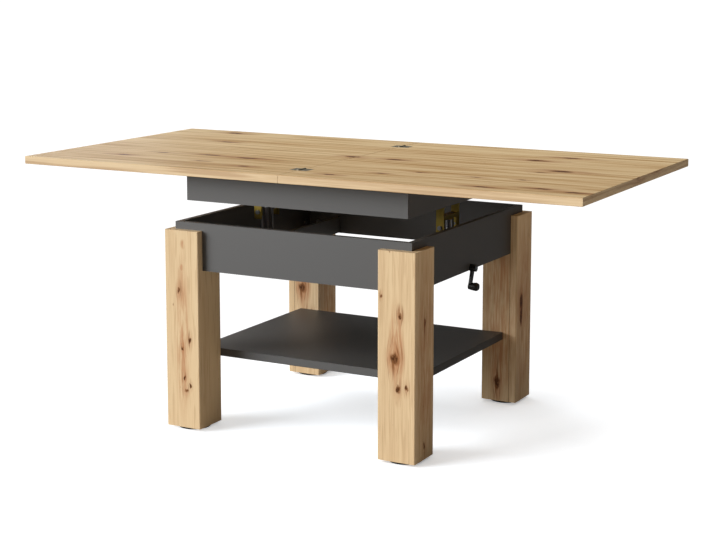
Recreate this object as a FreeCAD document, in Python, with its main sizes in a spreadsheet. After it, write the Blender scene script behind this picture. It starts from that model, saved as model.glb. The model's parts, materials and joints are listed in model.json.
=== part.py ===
import FreeCAD, Part
import math
import os

import Sketcher

# Convertible coffee and dining table, shown raised and unfolded.
# Frame: +X along the unfolded top, +Y to the back, +Z up, origin on the floor under the middle.
# Two square leaves meet at x = 0. A hand crank at the right end turns two lift spindles through
# mitre gears, the upper frame rises out of the lower one, and the folded top slides to the middle.
SIZES = [
    # Folding top
    ("leaf_length", 850, "one leaf along X, from the seam to its free end"),
    ("leaf_depth", 850, "one leaf along Y"),
    ("leaf_thickness", 22, "board of the top"),
    ("board_edge", 1, "chamfer along the edges of the top and the shelf"),
    ("seam_gap", 1, "gap between the two leaves"),
    ("raised_height", 750, "top surface above the floor with the lift up"),
    ("slide_gap", 0.5, "running gap between the leaf and the upper frame"),
    # Flush hinges in the top surface
    ("hinge_offset", 300, "middle of a hinge from the middle of the seam"),
    ("hinge_length", 42, "hinge plate along the seam"),
    ("hinge_reach", 28, "hinge plate away from the seam"),
    ("hinge_sheet", 2.5, "thickness of a hinge plate"),
    ("knuckle_radius", 2.5, "outside of the rolled knuckle"),
    ("knuckle_count", 5, "knuckles along one hinge"),
    ("knuckle_gap", 0.4, "clearance round a knuckle and between knuckles"),
    ("hinge_pin_radius", 1.3, "hinge pin"),
    ("axis_rise", 0.3, "hinge axis above the top surface"),
    # Legs, shelf and lower frame
    ("base_length", 780, "over the legs along X"),
    ("base_depth", 780, "over the legs along Y"),
    ("leg_width", 110, "square leg"),
    ("leg_board", 22, "board of the hollow leg"),
    ("leg_edge", 2, "chamfer along the upright edges of the leg"),
    ("leg_drop", 21, "leg top below the top edge of the lower frame"),
    ("plug_height", 18, "wooden plug in the foot of the leg"),
    ("glide_height", 8, "glide under the plug"),
    ("glide_radius", 45, "round glide"),
    ("lowered_gap", 23, "leaf above the lower frame with the lift down"),
    ("frame_height", 133, "lower frame"),
    ("frame_board", 16, "board of the lower frame"),
    ("shelf_top", 218, "shelf surface above the floor"),
    ("shelf_board", 22, "board of the shelf"),
    ("shelf_inset", 43, "end of the shelf in from the outside of the legs"),
    # Upper frame and the slide of the top
    ("frame_clearance", 8, "gap between the upper and the lower frame"),
    ("upper_height", 80, "upper frame"),
    ("upper_board", 16, "board of the upper frame"),
    ("runner_offset", 200, "middle of a runner from the middle of the table"),
    ("runner_stop", 2, "play between the runner and the end of its channel"),
    ("runner_head", 22, "width of the runner inside the channel"),
    ("runner_head_height", 6, "height of the runner inside the channel"),
    ("runner_neck", 8, "width of the runner in the slot of the channel"),
    ("runner_play", 0.5, "running gap between runner and channel"),
    ("channel_width", 30, "outside of the channel"),
    ("channel_height", 16, "outside of the channel"),
    ("channel_sheet", 2, "sheet of the channel"),
    # Lift
    ("lift_travel", 115, "stroke of the lift"),
    ("spindle_inset", 32, "spindle axis in from the inner face of the upper frame"),
    ("spindle_radius", 6, "threaded part of the spindle"),
    ("journal_radius", 4.5, "plain part of the spindle in the gear case"),
    ("spindle_over", 1, "spindle above the crosshead when the lift is up"),
    ("bearing_gap", 0.05, "radial running gap of shafts, nuts and bushes"),
    ("washer_sheet", 1, "thrust washer under the spindle shoulder"),
    ("washer_radius", 8, "thrust washer"),
    ("rest_gap", 1, "gap over the thrust washer when the lift is down"),
    ("nut_radius", 10, "body of the lift nut"),
    ("nut_flange_radius", 14, "flange of the lift nut"),
    ("nut_flange", 3, "thickness of that flange"),
    ("crosshead_height", 10, "bar that holds the nut and the bushes"),
    ("crosshead_depth", 24, "that bar along X"),
    ("crosshead_leg", 4, "bent end of the bar against the yoke"),
    ("crosshead_drop", 32, "length of the bent end"),
    ("bush_radius", 6.5, "guide bush"),
    ("rod_radius", 4, "guide rod"),
    ("rod_offset", 30, "guide rod from the spindle"),
    ("yoke_sheet", 3, "sheet of the yoke"),
    ("yoke_inside", 95, "between the ears of the yoke"),
    ("yoke_height", 70, "web of the yoke on the upper frame"),
    ("yoke_below", 6, "web of the yoke below the top of the upper frame"),
    ("yoke_shoulder", 20, "slope between the strap and the head of an ear"),
    ("yoke_tail", 42, "end of an ear below the crosshead"),
    ("yoke_bolt_radius", 4, "bolt through ear and crosshead"),
    ("yoke_bolt_drop", 22, "that bolt below the crosshead"),
    ("yoke_bolt_head", 6.5, "radius of the bolt head"),
    ("yoke_bolt_rise", 4, "height of the bolt head"),
    # Gear cases and drive
    ("drive_rise", 6, "drive axis above the bottom edge of the lower frame"),
    ("case_length", 38, "gear case along X"),
    ("case_width", 34, "gear case along Y"),
    ("case_above", 15, "gear case above the drive axis"),
    ("case_below", 18, "gear case below the drive axis"),
    ("case_wall", 4, "wall of the gear case"),
    ("case_neck", 14, "arm between the gear case and its flange"),
    ("case_neck_width", 20, "that arm along Y"),
    ("wing_width", 16, "lug under a guide rod along X"),
    ("wing_height", 12, "lug under a guide rod"),
    ("wing_edge", 7, "lug beyond the middle of the rod"),
    ("flange_sheet", 4, "flange of the gear case"),
    ("flange_width", 68, "flange of the gear case along Y"),
    ("flange_rise", 42, "flange above the drive axis"),
    ("rail_board", 16, "cross rail that carries the gear case"),
    ("rail_height", 48, "cross rail"),
    ("rail_raise", 2, "cross rail above the bottom edge of the lower frame"),
    ("shaft_radius", 4, "crank shaft and cross shaft"),
    ("shaft_clear", 2, "clearance of the shaft in wood and flange"),
    ("gear_teeth", 16, "teeth of each mitre gear"),
    ("gear_radius", 10, "pitch radius of a mitre gear at its large end"),
    ("gear_face", 5, "tooth length along the pitch cone"),
    ("gear_addendum", 0.95, "tooth above the pitch cone"),
    ("gear_dedendum", 1.45, "tooth below the pitch cone"),
    ("gear_backlash", 0.3, "tooth thinner than half the pitch"),
    ("gear_hub", 2, "hub behind the teeth"),
    ("gear_hub_radius", 7, "hub behind the teeth"),
    # Crank
    ("crank_bush_radius", 7, "bush in the lower edge of the end panel"),
    ("crank_bush_flange", 11, "flange of that bush"),
    ("crank_bush_rise", 2, "thickness of that flange"),
    ("crank_gap", 1, "gap between bush and crank"),
    ("crank_hub_radius", 10, "hub of the crank arm"),
    ("crank_hub_length", 14, "hub of the crank arm"),
    ("crank_arm_sheet", 6, "thickness of the crank arm"),
    ("crank_radius", 52, "throw of the crank"),
    ("crank_angle", 20, "crank arm towards the front from straight down, in degrees"),
    ("crank_eye_radius", 9, "outer end of the crank arm"),
    ("crank_root", 17, "width of the crank arm at its hub"),
    ("crank_waist", 14, "width of the crank arm at its outer end"),
    ("knob_pin_radius", 3, "pin of the knob"),
    ("knob_gap", 0.5, "gap between crank arm and knob"),
    ("knob_length", 22, "knob"),
    ("knob_neck_radius", 10, "knob beside the arm"),
    ("knob_radius", 12, "knob at its widest"),
    ("knob_end", 6, "rounded end of the knob"),
]

doc = FreeCAD.newDocument("convertible_table")
sheet = doc.addObject("Spreadsheet::Sheet", "Sizes")
for row, (alias, number, meaning) in enumerate(SIZES, start=1):
    sheet.set(f"A{row}", meaning)
    sheet.set(f"B{row}", str(number))
    sheet.setAlias(f"B{row}", alias)
doc.recompute()


class SheetNames:
    """Writes size.word as the expression that reads that cell of the sheet."""

    def __getattr__(self, alias):
        return f"Sizes.{alias}"


size = SheetNames()

# Places worked out from the sizes, as expressions
FRAME_X = f"({size.base_length} / 2 - {size.leg_board})"
FRAME_Y = f"({size.base_depth} / 2 - {size.leg_board})"
FRAME_IN_X = f"({FRAME_X} - {size.frame_board})"
FRAME_IN_Y = f"({FRAME_Y} - {size.frame_board})"
LEAF_UNDER = f"({size.raised_height} - {size.leaf_thickness})"
FRAME_TOP = f"({LEAF_UNDER} - {size.lift_travel} - {size.lowered_gap})"
FRAME_BOTTOM = f"({FRAME_TOP} - {size.frame_height})"
LEG_TOP = f"({FRAME_TOP} - {size.leg_drop})"
UPPER_X = f"({FRAME_IN_X} - {size.frame_clearance})"
UPPER_Y = f"({FRAME_IN_Y} - {size.frame_clearance})"
UPPER_IN_X = f"({UPPER_X} - {size.upper_board})"
UPPER_IN_Y = f"({UPPER_Y} - {size.upper_board})"
UPPER_TOP = f"({LEAF_UNDER} - {size.slide_gap})"
UPPER_BOTTOM = f"({UPPER_TOP} - {size.upper_height})"
HINGE_AXIS = f"({size.raised_height} + {size.axis_rise})"
SPINDLE_X = f"({UPPER_IN_X} - {size.spindle_inset})"
DRIVE_Z = f"({FRAME_BOTTOM} + {size.drive_rise})"
CASE_TOP = f"({DRIVE_Z} + {size.case_above})"
CASE_BOTTOM = f"({DRIVE_Z} - {size.case_below})"
SHOULDER = f"({CASE_TOP} + {size.washer_sheet})"
NUT_BOTTOM = f"({SHOULDER} + {size.rest_gap} + {size.lift_travel})"
BAR_BOTTOM = f"({NUT_BOTTOM} + {size.nut_flange})"
BAR_TOP = f"({BAR_BOTTOM} + {size.crosshead_height})"
SPINDLE_TOP = f"({BAR_TOP} + {size.spindle_over})"
YOKE_BOLT_Z = f"({BAR_BOTTOM} - {size.yoke_bolt_drop})"
CASE_IN = f"({SPINDLE_X} - {size.case_length} / 2)"
CASE_OUT = f"({SPINDLE_X} + {size.case_length} / 2)"
FLANGE_OUT = f"({CASE_IN} - {size.case_neck})"
FLANGE_IN = f"({FLANGE_OUT} - {size.flange_sheet})"
RAIL_IN = f"({FLANGE_IN} - {size.rail_board})"
BUSH_FACE = f"({FRAME_X} + {size.crank_bush_rise})"
CRANK_IN = f"({BUSH_FACE} + {size.crank_gap})"
CRANK_OUT = f"({CRANK_IN} + {size.crank_hub_length})"
ARM_OUT = f"({CRANK_IN} + {size.crank_arm_sheet})"
CRANK_PIN_Y = f"(-{size.crank_radius} * sin({size.crank_angle}))"
CRANK_PIN_Z = f"({DRIVE_Z} - {size.crank_radius} * cos({size.crank_angle}))"
KNOB_IN = f"({ARM_OUT} + {size.knob_gap})"
KNOB_OUT = f"({KNOB_IN} + {size.knob_length})"

SIDES = (("right", 1), ("left", -1))
ENDS = (("front", -1), ("back", 1))
nodes = []


def value(expression):
    """Number that an expression gives with the sizes of the sheet."""
    return float(sheet.evalExpression(expression))


def about(middle, half):
    """Span of twice a half width about a middle."""
    return f"{middle} - ({half})", f"{middle} + ({half})"


def on_side(sign, low, high):
    """Span on the right of the table, or its mirror image on the left."""
    if sign > 0:
        return low, high
    return f"-({high})", f"-({low})"


def place(thing, x, y, z):
    """Bind the corner of a piece to expressions."""
    for axis, expression in zip("xyz", (x, y, z)):
        thing.setExpression(f"Placement.Base.{axis}", expression)


def box(name, xs, ys, zs):
    """Block between a low and a high value along each axis."""
    block = doc.addObject("Part::Box", name)
    for edge, (low, high) in zip(("Length", "Width", "Height"), (xs, ys, zs)):
        block.setExpression(edge, f"{high} - ({low})")
    place(block, xs[0], ys[0], zs[0])
    return block


def round_bar(name, axis, radius, span, centre):
    """Cylinder along an axis, with its centre given on the other two axes in order."""
    bar = doc.addObject("Part::Cylinder", name)
    bar.setExpression("Radius", radius)
    bar.setExpression("Height", f"{span[1]} - ({span[0]})")
    turns = {"X": ((0, 1, 0), 90), "Y": ((1, 0, 0), -90), "Z": ((0, 0, 1), 0)}
    direction, angle = turns[axis]
    bar.Placement.Rotation = FreeCAD.Rotation(FreeCAD.Vector(*direction), angle)
    corner = list(centre)
    corner.insert("XYZ".index(axis), span[0])
    place(bar, *corner)
    return bar


def joined(name, pieces):
    """One solid from several that overlap or touch."""
    whole = doc.addObject("Part::MultiFuse", name)
    whole.Shapes = pieces
    whole.Refine = True
    return whole


def cut(name, base, tools):
    """Solid with one or more others taken away."""
    rest = doc.addObject("Part::Cut", name)
    rest.Base = base
    rest.Tool = tools[0] if len(tools) == 1 else joined(f"{name}_tools", tools)
    return rest


def group(name, pieces):
    """Separate solids that share one node."""
    bundle = doc.addObject("Part::Compound", name)
    bundle.Links = pieces
    return bundle


def outline(body, name, plane, points):
    """Sketch of a closed outline, each corner bound to two expressions."""
    sketch = body.newObject("Sketcher::SketchObject", name)
    origin = [feature for feature in body.Origin.OriginFeatures if feature.Role == plane]
    sketch.AttachmentSupport = [(origin[0], "")]
    sketch.MapMode = "FlatFace"
    corners = [FreeCAD.Vector(value(u), value(v), 0) for u, v in points]
    count = len(corners)
    for index in range(count):
        sketch.addGeometry(Part.LineSegment(corners[index], corners[(index + 1) % count]))
    for index in range(count):
        sketch.addConstraint(Sketcher.Constraint("Coincident", index, 2, (index + 1) % count, 1))
    for index, (u, v) in enumerate(points):
        for kind, expression in (("DistanceX", u), ("DistanceY", v)):
            rule = Sketcher.Constraint(kind, -1, 1, index, 1, value(expression))
            number = sketch.addConstraint(rule)
            sketch.setExpression(f"Constraints[{number}]", expression)
    return sketch


def extruded(name, plane, points, span):
    """Body padded from an outline: plane XY runs along Z, YZ along X and XZ along Y."""
    body = doc.addObject("PartDesign::Body", name)
    pad = body.newObject("PartDesign::Pad", f"{name}_pad")
    pad.Profile = outline(body, f"{name}_outline", f"{plane}_Plane", points)
    body.Tip = pad
    low, high = span
    pad.setExpression("Length", f"{high} - ({low})")
    starts = {"XY": ("0", "0", low), "YZ": (low, "0", "0"), "XZ": ("0", high, "0")}
    place(body, *starts[plane])
    return body


def edged_board(name, xs, ys, zs):
    """Board with a small chamfer along the edges of both faces."""
    edge = size.board_edge
    bottom, top = zs
    slabs = []
    for plane, (low, high), run in (("XZ", xs, ys), ("YZ", ys, xs)):
        points = [(f"{low} + {edge}", bottom), (f"{high} - {edge}", bottom), (high, f"{bottom} + {edge}"),
                  (high, f"{top} - {edge}"), (f"{high} - {edge}", top), (f"{low} + {edge}", top),
                  (low, f"{top} - {edge}"), (low, f"{bottom} + {edge}")]
        slabs.append(extruded(f"{name}_{plane}", plane, points, run))
    board = doc.addObject("Part::Common", name)
    board.Base, board.Tool = slabs
    return board


def keep(piece):
    """List a finished piece as a node."""
    nodes.append(piece)
    return piece


def leg_board(name, signs, corners, top):
    """One board of a hollow leg: corners measured in from the outside faces of the leg."""
    points = []
    for inward_x, inward_y in corners:
        x = f"{signs[0]} * ({size.base_length} / 2 - ({inward_x}))"
        y = f"{signs[1]} * ({size.base_depth} / 2 - ({inward_y}))"
        points.append((x, y))
    return extruded(name, "XY", points, (size.glide_height, top))


def make_leg(name, signs):
    """Four mitred boards. The two outer ones rise past the corner of the lower frame."""
    wall = size.leg_board
    wide = size.leg_width
    edge = size.leg_edge
    deep = f"{wide} - {wall}"
    near = f"{edge} / 2"
    far = f"{wide} - {edge} / 2"
    trim = f"{wide} - {edge}"
    outer = [(near, near), (wall, wall), (wall, wide), (edge, wide), ("0", trim), ("0", edge)]
    inner = [(wall, deep), (deep, deep), (far, far), (trim, wide), (wall, wide)]
    boards = [
        ("outer_x", outer, LEG_TOP),
        ("outer_y", [(y, x) for x, y in outer], LEG_TOP),
        ("inner_y", inner, FRAME_BOTTOM),
        ("inner_x", [(y, x) for x, y in inner], FRAME_BOTTOM),
    ]
    solids = [leg_board(f"{name}_{board}", signs, corners, top) for board, corners, top in boards]
    return keep(group(name, solids))


def make_legs():
    """Legs, the plugs in their feet and the glides under the plugs."""
    plugs = []
    glides = []
    for end, sign_y in ENDS:
        for side, sign_x in SIDES:
            make_leg(f"leg_{end}_{side}", (sign_x, sign_y))
            inside = f"{size.leg_width} - {size.leg_board}"
            xs = on_side(sign_x, f"{size.base_length} / 2 - ({inside})", FRAME_X)
            ys = on_side(sign_y, f"{size.base_depth} / 2 - ({inside})", FRAME_Y)
            foot = (size.glide_height, f"{size.glide_height} + {size.plug_height}")
            plugs.append(box(f"plug_{end}_{side}", xs, ys, foot))
            centre_x = f"{sign_x} * ({size.base_length} / 2 - {size.leg_width} / 2)"
            centre_y = f"{sign_y} * ({size.base_depth} / 2 - {size.leg_width} / 2)"
            glide = round_bar(f"glide_{end}_{side}", "Z", size.glide_radius,
                              ("0", size.glide_height), (centre_x, centre_y))
            glides.append(glide)
    keep(group("leg_plugs", plugs))
    keep(group("leg_glides", glides))


def make_panels(name, xs, ys, inner_xs, inner_ys, zs):
    """Front and back panels run full length. Returns the two end panels between them."""
    keep(box(f"{name}_front_panel", xs, (ys[0], inner_ys[0]), zs))
    keep(box(f"{name}_back_panel", xs, (inner_ys[1], ys[1]), zs))
    right = box(f"{name}_right_board", (inner_xs[1], xs[1]), inner_ys, zs)
    left = box(f"{name}_left_panel", (xs[0], inner_xs[0]), inner_ys, zs)
    keep(left)
    return right


def make_lower_frame():
    """Four panels, the notch for the crank shaft and the two cross rails of the lift."""
    zs = (FRAME_BOTTOM, FRAME_TOP)
    right = make_panels("lower", about("0", FRAME_X), about("0", FRAME_Y),
                        about("0", FRAME_IN_X), about("0", FRAME_IN_Y), zs)
    through = (f"{FRAME_IN_X} - 1", f"{FRAME_X} + 1")
    crown = round_bar("crank_notch_crown", "X", size.crank_bush_radius, through, ("0", DRIVE_Z))
    mouth = box("crank_notch_mouth", through, about("0", size.crank_bush_radius),
                (f"{FRAME_BOTTOM} - 1", DRIVE_Z))
    keep(cut("lower_right_panel", right, [crown, mouth]))
    for side, sign in SIDES:
        xs = on_side(sign, RAIL_IN, FLANGE_IN)
        low = f"({FRAME_BOTTOM} + {size.rail_raise})"
        rail = box(f"cross_rail_{side}_board", xs, about("0", FRAME_IN_Y),
                   (low, f"{low} + {size.rail_height}"))
        hole = round_bar(f"cross_rail_{side}_hole", "X", f"{size.shaft_radius} + {size.shaft_clear}",
                         (f"{xs[0]} - 1", f"{xs[1]} + 1"), ("0", DRIVE_Z))
        mouth = box(f"cross_rail_{side}_mouth", (f"{xs[0]} - 1", f"{xs[1]} + 1"),
                    about("0", f"{size.shaft_radius} + {size.shaft_clear}"), (f"{low} - 1", DRIVE_Z))
        keep(cut(f"cross_rail_{side}", rail, [hole, mouth]))


def make_shelf():
    """Board between the front and the back legs."""
    xs = about("0", f"{size.base_length} / 2 - {size.shelf_inset}")
    ys = about("0", f"{size.base_depth} / 2 - {size.leg_width}")
    keep(edged_board("shelf", xs, ys, (f"({size.shelf_top} - {size.shelf_board})", size.shelf_top)))


def make_upper_frame():
    """Four panels and the two channels that the top slides in."""
    zs = (UPPER_BOTTOM, UPPER_TOP)
    right = make_panels("upper", about("0", UPPER_X), about("0", UPPER_Y),
                        about("0", UPPER_IN_X), about("0", UPPER_IN_Y), zs)
    right.Label = "upper_right_panel"
    keep(right)
    wall = size.channel_sheet
    half = f"{size.channel_width} / 2"
    slot = f"{size.runner_neck} / 2 + {size.runner_play}"
    floor = f"({UPPER_TOP} - {size.channel_height})"
    for end, sign in ENDS:
        middle = f"{sign} * {size.runner_offset}"
        right_half = [(f"{half}", floor), (f"{half}", UPPER_TOP), (slot, UPPER_TOP),
                      (slot, f"{UPPER_TOP} - {wall}"), (f"{half} - {wall}", f"{UPPER_TOP} - {wall}"),
                      (f"{half} - {wall}", f"{floor} + {wall}")]
        points = [(f"{middle} + ({across})", up) for across, up in right_half]
        points += [(f"{middle} - ({across})", up) for across, up in reversed(right_half)]
        keep(extruded(f"slide_channel_{end}", "YZ", points, about("0", UPPER_IN_X)))


def make_runners():
    """T shaped runners under the right leaf. Their stroke is half a leaf."""
    reach = f"({UPPER_IN_X} - {size.runner_stop})"
    xs = (f"({size.leaf_length} / 2 - {reach})", reach)
    top = f"({UPPER_TOP} - {size.channel_sheet} - {size.runner_play})"
    bottom = f"{top} - {size.runner_head_height}"
    pair = []
    for end, sign in ENDS:
        middle = f"{sign} * {size.runner_offset}"
        head = f"{size.runner_head} / 2"
        neck = f"{size.runner_neck} / 2"
        right_half = [(head, bottom), (head, top), (neck, top), (neck, LEAF_UNDER)]
        points = [(f"{middle} + {across}", up) for across, up in right_half]
        points += [(f"{middle} - {across}", up) for across, up in reversed(right_half)]
        pair.append(extruded(f"runner_{end}", "YZ", points, xs))
    keep(group("slide_runners", pair))


def knuckle_span(middle, index, gap):
    """Place of one knuckle along a hinge, shortened or lengthened by a gap at both ends."""
    step = f"{size.hinge_length} / {size.knuckle_count}"
    start = f"{middle} - {size.hinge_length} / 2 + {index} * ({step})"
    return f"{start} + ({gap})", f"{start} + ({step}) - ({gap})"


def make_hinge_plate(name, sign, middle, first):
    """Half of a hinge: a flush plate with every second knuckle, bored for the pin."""
    ys = about(middle, f"{size.hinge_length} / 2")
    zs = (f"{size.raised_height} - {size.hinge_sheet}", size.raised_height)
    plate = box(f"{name}_sheet", on_side(sign, "0", size.hinge_reach), ys, zs)
    axis = ("0", HINGE_AXIS)
    own = []
    reliefs = []
    for index in range(int(value(size.knuckle_count))):
        if index % 2 == first:
            span = knuckle_span(middle, index, f"{size.knuckle_gap} / 2")
            own.append(round_bar(f"{name}_knuckle_{index}", "Y", size.knuckle_radius, span, axis))
        else:
            span = knuckle_span(middle, index, f"-{size.knuckle_gap} / 2")
            relief = round_bar(f"{name}_relief_{index}", "Y", f"{size.knuckle_radius} + {size.knuckle_gap}",
                               span, axis)
            reliefs.append(relief)
    bore = round_bar(f"{name}_bore", "Y", f"{size.hinge_pin_radius} + {size.bearing_gap}",
                     (f"{ys[0]} - 1", f"{ys[1]} + 1"), axis)
    trimmed = cut(f"{name}_trimmed", plate, reliefs)
    return cut(name, joined(f"{name}_rolled", [trimmed] + own), [bore])


def make_leaf(side, sign, hinge_middles):
    """One leaf of the top, let out for the hinge plates and their knuckles."""
    xs = on_side(sign, f"{size.seam_gap} / 2", f"{size.leaf_length} + {size.seam_gap} / 2")
    board = edged_board(f"leaf_{side}_board", xs, about("0", f"{size.leaf_depth} / 2"),
                        (LEAF_UNDER, size.raised_height))
    tools = []
    for number, middle in enumerate(hinge_middles):
        ys = about(middle, f"{size.hinge_length} / 2")
        tools.append(box(f"leaf_{side}_recess_{number}", on_side(sign, "0", size.hinge_reach), ys,
                         (f"{size.raised_height} - {size.hinge_sheet}", f"{size.raised_height} + 1")))
        tools.append(round_bar(f"leaf_{side}_relief_{number}", "Y",
                               f"{size.knuckle_radius} + {size.knuckle_gap}", ys, ("0", HINGE_AXIS)))
    keep(cut(f"leaf_{side}", board, tools))


def make_top():
    """Two leaves and the two flush hinges between them."""
    middles = [f"{sign} * {size.hinge_offset}" for end, sign in ENDS]
    for first, (side, sign) in enumerate(SIDES):
        make_leaf(side, sign, middles)
        plates = [make_hinge_plate(f"hinge_{side}_{end}", sign, middle, first)
                  for (end, _), middle in zip(ENDS, middles)]
        keep(group(f"hinge_plates_{side}", plates))
    pins = [round_bar(f"hinge_pin_{end}", "Y", size.hinge_pin_radius,
                      about(middle, f"{size.hinge_length} / 2"), ("0", HINGE_AXIS))
            for (end, _), middle in zip(ENDS, middles)]
    keep(group("hinge_pins", pins))


def make_yoke(side, sign):
    """Bent sheet on the end panel of the upper frame, with two ears that reach down."""
    ear_inside = f"{size.yoke_inside} / 2"
    head_top = f"({UPPER_TOP} - {size.yoke_below})"
    head_bottom = f"({head_top} - {size.yoke_height})"
    web_face = f"({UPPER_IN_X} - {size.yoke_sheet})"
    strap_in = f"({SPINDLE_X} - {size.crosshead_depth} / 2)"
    strap_out = f"({SPINDLE_X} + {size.crosshead_depth} / 2)"
    tail = f"({BAR_BOTTOM} - {size.yoke_tail})"
    profile = [(strap_in, tail), (strap_out, tail), (strap_out, f"{head_bottom} - {size.yoke_shoulder}"),
               (UPPER_IN_X, head_bottom), (UPPER_IN_X, head_top), (strap_in, head_top)]
    points = [(f"{sign} * {across}", up) for across, up in profile]
    ears = []
    for end, sign_y in ENDS:
        ys = on_side(sign_y, ear_inside, f"{ear_inside} + {size.yoke_sheet}")
        ears.append(extruded(f"yoke_{side}_ear_{end}", "XZ", points, ys))
    web = box(f"yoke_{side}_web", on_side(sign, web_face, UPPER_IN_X),
              about("0", f"{ear_inside} + {size.yoke_sheet}"), (head_bottom, head_top))
    bent = joined(f"yoke_{side}_bent", ears + [web])
    bolt_hole = round_bar(f"yoke_{side}_hole", "Y", size.yoke_bolt_radius,
                          about("0", f"{ear_inside} + {size.yoke_sheet} + 1"),
                          (f"{sign} * {SPINDLE_X}", YOKE_BOLT_Z))
    keep(cut(f"yoke_{side}", bent, [bolt_hole]))


def make_crosshead(side, sign):
    """Bar between the ears with bent ends, bored for the nut, the bushes and the bolts."""
    middle = f"{sign} * {SPINDLE_X}"
    xs = about(middle, f"{size.crosshead_depth} / 2")
    inside = f"{size.yoke_inside} / 2"
    bar = box(f"crosshead_{side}_bar", xs, about("0", inside), (BAR_BOTTOM, BAR_TOP))
    ends = []
    for end, sign_y in ENDS:
        ys = on_side(sign_y, f"{inside} - {size.crosshead_leg}", inside)
        ends.append(box(f"crosshead_{side}_end_{end}", xs, ys,
                        (f"{BAR_BOTTOM} - {size.crosshead_drop}", BAR_TOP)))
    through = (f"{BAR_BOTTOM} - 1", f"{BAR_TOP} + 1")
    holes = [round_bar(f"crosshead_{side}_nut_hole", "Z", size.nut_radius, through, (middle, "0"))]
    for end, sign_y in ENDS:
        holes.append(round_bar(f"crosshead_{side}_bush_hole_{end}", "Z", size.bush_radius, through,
                               (middle, f"{sign_y} * {size.rod_offset}")))
    holes.append(round_bar(f"crosshead_{side}_bolt_hole", "Y", size.yoke_bolt_radius,
                           about("0", f"{inside} + 1"), (middle, YOKE_BOLT_Z)))
    keep(cut(f"crosshead_{side}", joined(f"crosshead_{side}_bent", [bar] + ends), holes))


def make_lift_nut(side, sign):
    """Flanged nut under the crosshead."""
    middle = f"{sign} * {SPINDLE_X}"
    body = round_bar(f"lift_nut_{side}_body", "Z", size.nut_radius, (NUT_BOTTOM, BAR_TOP), (middle, "0"))
    flange = round_bar(f"lift_nut_{side}_flange", "Z", size.nut_flange_radius, (NUT_BOTTOM, BAR_BOTTOM),
                       (middle, "0"))
    bore = round_bar(f"lift_nut_{side}_bore", "Z", f"{size.spindle_radius} + {size.bearing_gap}",
                     (f"{NUT_BOTTOM} - 1", f"{BAR_TOP} + 1"), (middle, "0"))
    return cut(f"lift_nut_{side}", joined(f"lift_nut_{side}_turned", [body, flange]), [bore])


def make_guides(side, sign):
    """Guide rods that stand in the gear case, and the bushes that run on them."""
    middle = f"{sign} * {SPINDLE_X}"
    rods = []
    bushes = []
    for end, sign_y in ENDS:
        centre = (middle, f"{sign_y} * {size.rod_offset}")
        foot = f"{DRIVE_Z} - {size.wing_height} + 1"
        rods.append(round_bar(f"guide_rod_{side}_{end}", "Z", size.rod_radius, (foot, SPINDLE_TOP), centre))
        sleeve = round_bar(f"guide_bush_{side}_{end}_sleeve", "Z", size.bush_radius,
                           (BAR_BOTTOM, BAR_TOP), centre)
        bore = round_bar(f"guide_bush_{side}_{end}_bore", "Z", f"{size.rod_radius} + {size.bearing_gap}",
                         (f"{BAR_BOTTOM} - 1", f"{BAR_TOP} + 1"), centre)
        bushes.append(cut(f"guide_bush_{side}_{end}", sleeve, [bore]))
    return rods, bushes


def make_yoke_bolts(side, sign):
    """Bolts that hold the ears of the yoke to the crosshead."""
    bolts = []
    inside = f"({size.yoke_inside} / 2)"
    outside = f"({inside} + {size.yoke_sheet})"
    centre = (f"{sign} * {SPINDLE_X}", YOKE_BOLT_Z)
    for end, sign_y in ENDS:
        shank = round_bar(f"yoke_bolt_{side}_{end}_shank", "Y", size.yoke_bolt_radius,
                          on_side(sign_y, f"{inside} - {size.crosshead_leg}", outside), centre)
        head = round_bar(f"yoke_bolt_{side}_{end}_head", "Y", size.yoke_bolt_head,
                         on_side(sign_y, outside, f"{outside} + {size.yoke_bolt_rise}"), centre)
        bolts.append(joined(f"yoke_bolt_{side}_{end}", [shank, head]))
    return bolts


def case_tools(name, middle, shafts):
    """Room inside a gear case: the gear chamber, the shaft bores and the spindle bore."""
    wall = size.case_wall
    chamber = box(f"{name}_chamber", about(middle, f"{size.case_length} / 2 - {wall}"),
                  about("0", f"{size.case_width} / 2 - {wall}"),
                  (f"{CASE_BOTTOM} + {wall}", f"{CASE_TOP} - {wall}"))
    spindle = round_bar(f"{name}_spindle_bore", "Z", f"{size.journal_radius} + {size.bearing_gap}",
                        (f"{CASE_BOTTOM} + {wall} / 2", f"{CASE_TOP} + 1"), (middle, "0"))
    shaft = round_bar(f"{name}_shaft_bore", "X", f"{size.shaft_radius} + {size.bearing_gap}", shafts,
                      ("0", DRIVE_Z))
    return [chamber, spindle, shaft]


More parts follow.
